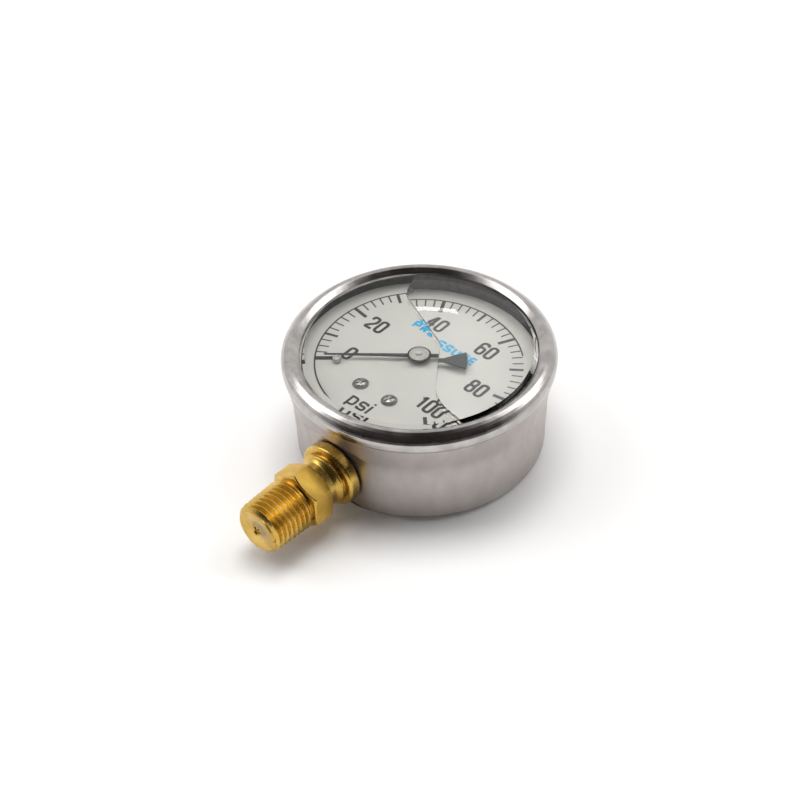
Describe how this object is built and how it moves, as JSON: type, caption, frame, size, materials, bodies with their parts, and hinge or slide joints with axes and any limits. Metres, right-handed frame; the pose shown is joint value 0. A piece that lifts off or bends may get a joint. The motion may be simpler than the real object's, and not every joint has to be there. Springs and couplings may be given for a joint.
{
  "type": "pressure gauge",
  "caption": "Round liquid-filled pressure gauge with a steel case, crimped bezel, clear window, white dial, turning pointer and a bottom brass socket with a male pipe thread.",
  "frame": {"origin": "centre of the flat back face of the case", "axes": "+Z out of the dial, +Y towards 12 o'clock, +X towards 3 o'clock; the threaded socket points along -Y"},
  "size_m": [0.0686, 0.0928, 0.0298],
  "materials": {
    "case_steel": "satin drawn steel",
    "bezel_steel": "polished steel",
    "window_clear": "clear",
    "black_rubber": "black",
    "turned_brass": "turned brass",
    "spring_steel": "spring steel",
    "bronze_tube": "bronze tube",
    "milled_brass": "milled brass",
    "sheet_brass": "sheet brass",
    "turned_steel": "turned",
    "bronze_strip": "bronze strip",
    "small_brass": "turned",
    "dial_white": "white satin paint",
    "nickel_plate": "nickel plated",
    "black_pin": "black",
    "black_paint": "black satin paint"
  },
  "bodies": {
    "gauge_body": {"case": "case_steel", "bezel_ring": "bezel_steel", "window": "window_clear", "window_gasket": "black_rubber", "socket": "turned_brass", "restrictor": "turned_brass", "socket_seal": "black_rubber", "socket_clip": "spring_steel", "bourdon_tube": "bronze_tube", "back_plate": "sheet_brass", "front_plate": "sheet_brass", "hairspring": "bronze_strip", "hairspring_stud": "small_brass", "dial_post_left": "small_brass", "dial_post_right": "small_brass", "dial": "dial_white", "dial_screw_left": "nickel_plate", "dial_screw_right": "nickel_plate", "zero_stop_pin": "black_pin", "pillar_1": "small_brass", "plate_screw_1": "nickel_plate", "pillar_2": "small_brass", "plate_screw_2": "nickel_plate", "pillar_3": "small_brass", "plate_screw_3": "nickel_plate"},
    "pointer_assembly": {"pointer": "black_paint", "pointer_hub": "black_pin", "pointer_cap": "nickel_plate", "pinion": "turned_steel", "hairspring_collet": "small_brass"},
    "sector": {"sector_gear": "sheet_brass", "sector_arbor": "turned_steel", "link_pin_tail": "turned_steel"},
    "link_bar": {"link": "sheet_brass"},
    "tube_end": {"tube_tip": "milled_brass", "link_pin_tip": "turned_steel"},
    "plug": {"fill_plug": "black_rubber"}
  },
  "joints": [
    {"name": "pointer_sweep", "type": "hinge", "parent": "gauge_body", "child": "pointer_assembly", "pos_m": [0, 0, 0.0232], "axis": [0, 0, -1], "range_deg": [0, 263.6], "deforming": ["hairspring"]},
    {"name": "sector_turn", "type": "hinge", "parent": "gauge_body", "child": "sector", "pos_m": [0.00868, -0.01034, 0.0155], "axis": [0, 0, 1], "range_deg": [0, 33]},
    {"name": "tube_flex", "type": "hinge", "parent": "gauge_body", "child": "tube_end", "pos_m": [-0.00232, 0.00559, 0.0092], "axis": [0, 0, 1], "range_deg": [0, 6.8], "deforming": ["bourdon_tube"]},
    {"name": "link_swing", "type": "hinge", "parent": "sector", "child": "link_bar", "pos_m": [0.01199, -0.01293, 0.0166], "axis": [0, 0, 1], "range_deg": [-36.6, 0]},
    {"name": "plug_pull", "type": "slide", "parent": "gauge_body", "child": "plug", "axis": [0, 1, 0], "range_m": [0, 0.008]}
  ],
  "couplings": [
    {"joint": "sector_turn", "follows": "pointer_sweep", "ratio": 0.125},
    {"joint": "tube_flex", "follows": "pointer_sweep", "ratio": 0.025607},
    {"joint": "link_swing", "follows": "pointer_sweep", "ratio": -0.13811}
  ]
}
